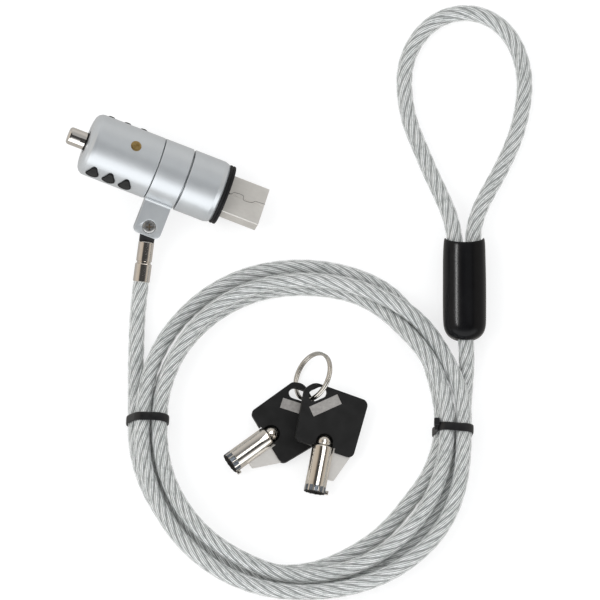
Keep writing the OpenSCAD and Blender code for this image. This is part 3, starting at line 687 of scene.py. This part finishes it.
# locking head of the right tie, with the cut tail of its strap
lean_r = bundle_outline(-1, 2.44)
near = float(lean_r[:, 0].min())
rounded_box("tie_right_head", (1.6, 2.3, 2.0), (near + 1.0, 1.7, 8.6), m_r, TIE, "cable", 0.28)
rounded_box("tie_right_tail", (0.7, 1.3, 1.6), (near + 0.75, -0.1, 8.4), m_r, TIE, "cable", 0.2)

# ---------------------------------------------------------------------------
# Gasket with its two ridges
# ---------------------------------------------------------------------------
prof = [(15.16, 6.0), (15.16, 8.45), (15.22, 8.67), (15.36, 8.75), (15.80, 8.75), (15.92, 8.67), (15.98, 8.52), (16.08, 8.52),
        (16.15, 8.65), (16.27, 8.73), (16.66, 8.72), (16.82, 8.61), (16.9, 8.41), (16.9, 6.0)]
pts, fcs = revolve(prof, 96)
for i in range(96):
    # the opening follows the plug, which the push rod passes through
    t = 2 * math.pi * i / 96
    r = min(6.03 / max(abs(math.cos(t)), 1e-6), 2.28 / max(abs(math.sin(t)), 1e-6))
    for q in (0, len(prof) - 1):
        pts[i * len(prof) + q][1:] = (r * math.cos(t), r * math.sin(t))
gasket = sharp(make("gasket_ridged", pts, fcs, GASKET, "lock_body", matrix=HEAD_B), 50)
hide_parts("gasket_ring")


# ---------------------------------------------------------------------------
# Grip pads: a rubber rim round a slightly sunken face, domed with the barrel
# ---------------------------------------------------------------------------
def pad_shape(n=56):
    """Outline of one pad in (along, across), its point towards the brass pin."""
    corners = [(-0.1, 3.6, 0.85), (-2.1, -1.2, 0.7), (0.1, -3.1, 2.2), (2.15, -0.7, 1.3)]
    pts = []
    for k in range(4):
        p = np.array(corners[k - 1][:2], float)
        q = np.array(corners[k][:2], float)
        w = np.array(corners[(k + 1) % 4][:2], float)
        r = corners[k][2]
        u = (p - q) / np.linalg.norm(p - q)
        v = (w - q) / np.linalg.norm(w - q)
        half = math.acos(float(u @ v)) / 2
        m = q + (u + v) / np.linalg.norm(u + v) * r / math.sin(half)
        p0, p1 = q + u * r / math.tan(half), q + v * r / math.tan(half)
        a0 = math.atan2(*(p0 - m)[::-1])
        a1 = math.atan2(*(p1 - m)[::-1])
        sweep = (a1 - a0 + 3 * math.pi) % (2 * math.pi) - math.pi
        pts += [(m[0] + r * math.cos(a0 + sweep * i / 14), m[1] + r * math.sin(a0 + sweep * i / 14)) for i in range(15)]
    p = np.array(pts + pts[:1])
    s = np.r_[0, np.cumsum(np.linalg.norm(np.diff(p, axis=0), axis=1))]
    t = np.linspace(0, s[-1], n, endpoint=False)
    return np.column_stack([np.interp(t, s, p[:, 0]), np.interp(t, s, p[:, 1])])


def grip_pad(name, x0, side):
    o = pad_shape()
    if side < 0:
        o = o * np.array([1.0, -1.0])
    mid = o.mean(axis=0)
    rings = [(1.0, -0.55), (1.0, 0.20), (0.975, 0.34), (0.93, 0.41), (0.86, 0.42), (0.80, 0.38), (0.76, 0.32), (0.5, 0.35), (0.25, 0.37)]
    k = len(o)
    pts, f, idx = [], [], []
    for sc, h in rings:
        for p in (o - mid) * sc + mid:
            a = math.asin(p[1] / (R + 0.2))
            pts.append((x0 + p[0], (R + h) * math.sin(a), (R + h) * math.cos(a)))
    for i in range(len(rings) - 1):
        for j in range(k):
            q = (j + 1) % k
            f.append((i * k + j, i * k + q, (i + 1) * k + q, (i + 1) * k + j))
            idx.append(0 if i < 5 else 1)
    a = math.asin(mid[1] / (R + 0.2))
    pts.append((x0 + mid[0], (R + 0.375) * math.sin(a), (R + 0.375) * math.cos(a)))
    c = len(pts) - 1
    for j in range(k):
        f.append(((len(rings) - 1) * k + j, (len(rings) - 1) * k + (j + 1) % k, c))
        idx.append(1)
    m = HEAD_B @ Matrix.Rotation(math.radians(side), 4, "X")
    return make(name, pts, f, [PAD_RIM, PAD_FACE], "lock_body", index=idx, matrix=m)


pads = [grip_pad("grip_pad_%s_%d" % (s, i + 1), x, a) for s, a in (("near", 81), ("far", -87)) for i, x in enumerate((-21.35, -16.4, -11.45))]
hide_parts("grip_pads")

# ---------------------------------------------------------------------------
# Plug: the folded shell's dovetail seam, and its front lip
# ---------------------------------------------------------------------------
seam = [(0.02, 0.525), (0.12, 0.505), (0.165, 0.45), (0.20, 0.425), (0.35, 0.41), (0.425, 0.42), (0.445, 0.45), (0.455, 0.515),
        (0.48, 0.535), (0.567, 0.533), (0.667, 0.515), (0.72, 0.48), (0.735, 0.455), (0.80, 0.44), (1.0, 0.425)]
sp = np.array([(16.6 + 11.6 * u, 6 - 12 * v) for u, v in seam if 16.6 + 11.6 * u > 16.95])


def ribbon(name, path, width, z, mat, body, matrix):
    p = np.asarray(path, float)
    t = np.gradient(p, axis=0)
    t /= np.linalg.norm(t, axis=1)[:, None]
    nn = np.column_stack([-t[:, 1], t[:, 0]])
    pts = []
    for i in range(len(p)):
        for o, h in ((-0.5, -0.03), (-0.5, 0.012), (0.5, 0.012), (0.5, -0.03)):
            q = p[i] + nn[i] * o * width
            pts.append((q[0], q[1], z + h))
    f = grid_faces(len(p), 4)
    f += [(3, 2, 1, 0), tuple((len(p) - 1) * 4 + k for k in range(4))]
    return make(name, pts, f, mat, body, smooth=False, matrix=matrix)


ribbon("plug_seam_line", sp, 0.14, 2.25, SEAM, "lock_body", HEAD_B)
# crimp dimple where the seam starts
pts, fcs = revolve([(2.20, 0.0), (2.262, 0.0), (2.262, 0.16), (2.25, 0.22), (2.20, 0.24)], 20)
make("plug_seam_dimple", pts, fcs, SEAM, "lock_body",
     matrix=HEAD_B @ Matrix.Translation((17.7, -0.02, 0)) @ Matrix.Rotation(-math.pi / 2, 4, "Y"))
soften("plug_shell", 0.10, 40, 2)

# ---------------------------------------------------------------------------
# Collar: the soft fold where the strap leaves the barrel
# ---------------------------------------------------------------------------
z_ear, y_fold = 2.5, -8.75
arc = []
for k in range(9):
    a = math.radians(90 * k / 8)
    arc.append((y_fold - 0.75 + 0.75 * math.sin(a) * 1.0, z_ear + 0.75 - 0.75 * math.cos(a)))
pts, f = [], []
xs = np.linspace(-3.95, 3.95, 9)
prof = arc + [(y_fold + 0.35, z_ear + 0.5), (y_fold + 0.1, z_ear - 0.4), (y_fold - 0.75, z_ear - 0.3)]
for x in xs:
    for y, z in prof:
        pts.append((x, y, z))
f = grid_faces(len(xs), len(prof))
f += [tuple(range(len(prof)))[::-1], tuple((len(xs) - 1) * len(prof) + k for k in range(len(prof)))]
sharp(make("collar_fold", pts, f, SATIN_COLLAR, "collar", matrix=HEAD_C), 50)

# brown-toned cross recess floor in the screw head
zo = 2.5
pts, f = [], []
for a in (20, 110):
    c, s = math.cos(BR(a)), math.sin(BR(a))
    b = len(pts)
    for x, y in ((-0.95, -0.22), (0.95, -0.22), (0.95, 0.22), (-0.95, 0.22)):
        pts.append((x * c - y * s, -16.2 + x * s + y * c, zo - 0.445 + (0.002 if a == 110 else 0)))
    for x, y in ((-0.95, -0.22), (0.95, -0.22), (0.95, 0.22), (-0.95, 0.22)):
        pts.append((x * c - y * s, -16.2 + x * s + y * c, zo - 0.5))
    f += [(b, b + 1, b + 2, b + 3), (b + 7, b + 6, b + 5, b + 4)] + [(b + k, b + 4 + k, b + 4 + (k + 1) % 4, b + (k + 1) % 4) for k in range(4)]
make("screw_recess_floor", pts, f, SOCKET, "collar", smooth=False, matrix=HEAD_C)
soften("clevis_screw", 0.06, 35, 2)
soften("swivel_collar", 0.12, 50, 2)
soften("clevis_nut", 0.12, 35, 2)

# black ring in the locking groove at the foot of the key post: painted shade in that gap
pts, fcs = revolve([(-26.22, 2.4), (-26.22, 2.555), (-26.18, 2.57), (-25.80, 2.57), (-25.76, 2.5), (-25.76, 2.4)], 72, close=True)
sharp(make("post_foot_shadow", pts, fcs, GASKET, "plunger", matrix=HEAD_B), 50)

# ---------------------------------------------------------------------------
# Return spring, wound
# ---------------------------------------------------------------------------
t = np.linspace(0, 1, 260)
x = (X_SEAM1 - 0.8 + 0.3) + t * (X_SEAM2 - X_SEAM1 + 0.8 - 0.6)
ang = 2 * math.pi * 7 * t
helix = np.column_stack([x, 2.78 * np.cos(ang), 2.78 * np.sin(ang)])
pts, fcs = tube(helix, 0.3, 10)
fcs += [tuple(range(10))[::-1], tuple((len(helix) - 1) * 10 + k for k in range(10))]
spring = make("return_spring_coil", pts, fcs, SPRING, "plunger", matrix=HEAD_B)
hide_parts("return_spring")
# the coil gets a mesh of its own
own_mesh(spring)

# ---------------------------------------------------------------------------
# Split ring: two flat turns side by side
# ---------------------------------------------------------------------------
m = 260
t = np.linspace(0, 1, m)
ang = 4 * math.pi * t + math.radians(200)
axial = -0.33 + 0.66 * np.clip((t - 0.44) / 0.12, 0, 1) ** 2 * (3 - 2 * np.clip((t - 0.44) / 0.12, 0, 1))
sec = [(-0.42, -0.20), (-0.32, -0.30), (0.32, -0.30), (0.42, -0.20), (0.42, 0.20), (0.32, 0.30), (-0.32, 0.30), (-0.42, 0.20)]
pts = [((7 + o) * math.cos(a), (7 + o) * math.sin(a), z + w) for a, z in zip(ang, axial) for o, w in sec]
fcs = grid_faces(m, 8) + [tuple(range(8))[::-1], tuple((m - 1) * 8 + k for k in range(8))]
ring = sharp(make("split_ring_turns", pts, fcs, RING_STEEL, "key_ring", matrix=RING), 50)
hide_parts("split_ring")


# ---------------------------------------------------------------------------
# Key tubes: a round-nosed neck, a shoulder, milled cuts and a scalloped rim
# ---------------------------------------------------------------------------
def key_tube(name, body, matrix, node):
    n = 168
    th = np.linspace(0, 2 * math.pi, n, endpoint=False)
    cut = np.clip((np.sin(12 * th + 0.6) + 0.6) * 3, 0, 1)           # 12 milled cuts
    outer = [(-0.4, 0.02), (-0.37, 0.4), (-0.3, 0.7), (-0.18, 1.0), (-0.02, 1.25), (0.17, 1.5), (0.4, 1.72), (0.66, 1.9), (0.95, 2.05), (1.27, 2.15), (1.6, 2.22),
             (2.3, 2.25), (2.45, 2.36), (2.62, 2.6), (2.78, 2.82), (2.95, 2.97), (3.3, 3.05), (6, 3.05), (10, 3.05), (14.2, 3.05), (14.45, 3.05), (14.55, 3.05), (15.9, 3.05), (16.15, 3.04), (16.32, 2.98), (16.4, 2.9)]
    inner = [(16.38, 2.72), (16.2, 2.64), (12, 2.62), (7.4, 2.62), (7.4, 0.02)]
    prof = outer + inner
    pts = []
    for k in range(n):
        for q, (s, r) in enumerate(prof):
            if q < len(outer) and 14.5 <= s <= 16.0:
                r = r - 0.08 * cut[k]
            if s > 16.0 or (q >= len(outer) and s > 16.1):
                s = s - 0.08 * cut[k]
            pts.append((s, r * math.cos(th[k]), r * math.sin(th[k])))
    k_ = len(prof)
    f, idx = [], []
    for i in range(n):
        j = (i + 1) % n
        for q in range(k_ - 1):
            f.append((i * k_ + q, i * k_ + q + 1, j * k_ + q + 1, j * k_ + q))
            s0 = prof[q][0]
            if q >= len(outer) - 1:
                idx.append(2)
            elif s0 >= 16.1:
                idx.append(2)
            elif 14.4 <= s0 and (cut[i] + cut[j]) > 0.9:
                idx.append(1)
            else:
                idx.append(0)
    ob = make(name, pts, f, [CHROME_KEY, KEY_CUTS, KEY_BORE_SHADE], body, index=idx, matrix=matrix)
    sharp(ob, 38)
    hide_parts(node)
    # black web of the bow that closes the notch behind the neck
    v, f = revolve([(-0.95, 0.0), (-0.95, 2.62), (-0.6, 2.62), (-0.6, 0.0)], 40)
    make(name + "_web", v, f, BOW, body, smooth=False,
         matrix=matrix @ Matrix.Translation((1.65, 0, 0)) @ Matrix.Rotation(-math.pi / 2, 4, "Y"))
    # locating nub at the rim
    rounded_box(name + "_nub", (1.15, 1.0, 1.0), (15.65, 3.45, 0), matrix, CHROME_KEY, body, 0.14, 2)
    return ob


key_tube("front_key_tube", "front_key", KEY_F, "front_key_shank")
key_tube("back_key_tube", "back_key", KEY_K, "back_key_shank")

# ---------------------------------------------------------------------------
# Floor, light
# ---------------------------------------------------------------------------
bpy.ops.mesh.primitive_plane_add(size=6, location=(0, 0, 0))
floor = bpy.context.object
floor.name = "floor"
fl = Nodes("floor_white")
fl.put("Base Color", (0.93, 0.93, 0.93, 1))
fl.put("Roughness", 1.0)
fl.put("Specular IOR Level", 0.0)
# the sweep glows a little by itself, so shadows stay faint; mirrors see it darker
own = fl.add("ShaderNodeEmission")
own.inputs[0].default_value = (1, 1, 1, 1)
own.inputs[1].default_value = 1.16
part = fl.add("ShaderNodeMixShader")
part.inputs[0].default_value = 0.42
fl.link(own.outputs[0], part.inputs[1])
fl.link(fl.bsdf.outputs[0], part.inputs[2])
dim = fl.add("ShaderNodeEmission")
dim.inputs[0].default_value = (0.50, 0.485, 0.465, 1)
path = fl.add("ShaderNodeLightPath")
pick = fl.add("ShaderNodeMixShader")
fl.link(path.outputs["Is Glossy Ray"], pick.inputs[0])
fl.link(part.outputs[0], pick.inputs[1])
fl.link(dim.outputs[0], pick.inputs[2])
fl.link(pick.outputs[0], fl.out.inputs[0])
floor.data.materials.append(fl.mat)

world = bpy.data.worlds.new("studio")
scene.world = world
world.use_nodes = True
wt = world.node_tree
wt.nodes.clear()
wo = wt.nodes.new("ShaderNodeOutputWorld")
tc = wt.nodes.new("ShaderNodeTexCoord")
sx = wt.nodes.new("ShaderNodeSeparateXYZ")
wt.links.new(tc.outputs["Generated"], sx.inputs[0])


def wmath(op, a, b=0.0):
    m = wt.nodes.new("ShaderNodeMath")
    m.operation = op
    for k, v in enumerate((a, b)):
        if isinstance(v, bpy.types.NodeSocket):
            wt.links.new(v, m.inputs[k])
        else:
            m.inputs[k].default_value = v
    return m.outputs[0]


def wramp(angle, stops):
    """Stops are (degrees from the zenith, colour)."""
    r = wt.nodes.new("ShaderNodeValToRGB")
    e = r.color_ramp.elements
    while len(e) < len(stops):
        e.new(0.5)
    for k, (p, c) in enumerate(stops):
        e[k].position = p / 360 + 0.5
        e[k].color = (*c, 1)
    wt.links.new(wmath("ADD", wmath("DIVIDE", angle, 2 * math.pi), 0.5), r.inputs[0])
    return r.outputs[0]


X, Y, Z = sx.outputs
alpha = wmath("ARCTAN2", wmath("MULTIPLY", Y, -1.0), Z)
beta = wmath("ARCTAN2", X, Z)
W = (0.66, 0.62, 0.57)
fore_aft = wramp(alpha, [(-120, (0.60, 0.585, 0.565)), (-62, (0.60, 0.585, 0.565)), (-42, (0.50, 0.49, 0.48)), (-30, (0.34, 0.335, 0.33)), (-18, (0.14, 0.14, 0.14)), (-8, (0.06, 0.06, 0.06)),
                         (0, (0.06, 0.06, 0.06)), (24, (0.05, 0.05, 0.05)), (34, (0.30, 0.30, 0.30)), (44, (0.9, 0.9, 0.91)), (54, (1.85, 1.87, 1.9)), (94, (1.85, 1.87, 1.9)),
                         (110, (0.74, 0.72, 0.70))])
side = wramp(beta, [(-160, (0.10, 0.09, 0.08)), (-120, (0.45, 0.41, 0.36)), (-100, W), (-60, (0.62, 0.56, 0.49)), (-34, (0.56, 0.50, 0.43)), (-24, (0.22, 0.19, 0.16)), (-14, (0.05, 0.045, 0.04)),
                    (-6, (0.05, 0.045, 0.04)), (0, (0.40, 0.40, 0.40)), (36, (0.42, 0.42, 0.42)), (42, (0.10, 0.09, 0.08)), (48, (0.14, 0.12, 0.10)),
                    (58, (0.52, 0.48, 0.43)), (110, W)])
ax, ay = wmath("ABSOLUTE", X), wmath("ABSOLUTE", wmath("SUBTRACT", Y, 0.26))
share = wmath("DIVIDE", ax, wmath("ADD", wmath("ADD", ax, ay), 0.0001))
mr = wt.nodes.new("ShaderNodeMapRange")
mr.interpolation_type = "SMOOTHSTEP"
wt.links.new(share, mr.inputs[0])
mr.inputs[1].default_value, mr.inputs[2].default_value = 0.50, 0.66
mx = wt.nodes.new("ShaderNodeMix")
mx.data_type = "RGBA"
wt.links.new(mr.outputs[0], mx.inputs[0])
wt.links.new(fore_aft, mx.inputs[6])
wt.links.new(side, mx.inputs[7])
gloss = wt.nodes.new("ShaderNodeBackground")
wt.links.new(mx.outputs[2], gloss.inputs[0])
gloss.inputs[1].default_value = 1.0
plain = wt.nodes.new("ShaderNodeBackground")
plain.inputs[0].default_value = (0.97, 0.985, 1.0, 1)
plain.inputs[1].default_value = 0.92
lp = wt.nodes.new("ShaderNodeLightPath")
ms = wt.nodes.new("ShaderNodeMixShader")
wt.links.new(lp.outputs["Is Glossy Ray"], ms.inputs[0])
wt.links.new(plain.outputs[0], ms.inputs[1])
wt.links.new(gloss.outputs[0], ms.inputs[2])
wt.links.new(ms.outputs[0], wo.inputs[0])


def area(name, at, to, size, power, colour=(1, 1, 1), size_y=None, glossy=True, upright=False):
    d = bpy.data.lights.new(name, "AREA")
    d.energy = power
    d.color = colour
    d.size = size
    if size_y:
        d.shape = "RECTANGLE"
        d.size_y = size_y
    o = bpy.data.objects.new(name, d)
    scene.collection.objects.link(o)
    o.location = at
    o.rotation_mode = "QUATERNION"
    o.rotation_quaternion = (Vector(to) - Vector(at)).to_track_quat("-Z", "Y")
    if upright:
        # long side along the scene's Y
        z = (Vector(at) - Vector(to)).normalized()
        y = (Vector((0, 1, 0)) - z * z.y).normalized()
        o.rotation_quaternion = Matrix((y.cross(z), y, z)).transposed().to_quaternion()
    o.visible_glossy = glossy
    return o


area("key_soft", (-0.55, -0.15, 0.75), (0, 0, 0), 0.5, 2.2, glossy=False)
area("fill_soft", (0.6, -0.5, 0.6), (0, 0, 0), 0.7, 1.2, glossy=False)


def only(light, name, objects):
    """Lets a light fall on a few pieces only."""
    c = bpy.data.collections.new(name)
    for o in objects:
        c.objects.link(o)
    light.light_linking.receiver_collection = c


# a window strip that shows down the side of the bright tubes, and a thin one for the sleeve
tubes = [bpy.data.objects["front_key_tube"], bpy.data.objects["back_key_tube"], NODES["cable_ferrule"], bpy.data.objects["split_ring_turns"]]
only(area("strip_tubes", (0.20, 0.13, 0.5), (0.02, 0, 0), 0.26, 1.0, size_y=0.5, upright=True), "lit_tubes", tubes)
only(area("strip_sleeve", (-0.30, 0.14, 0.40), (0.07, 0, 0), 0.07, 2.7, size_y=0.4, upright=True), "lit_sleeve", [sleeve])

scene.view_settings.view_transform = "Standard"
scene.view_settings.look = "None"
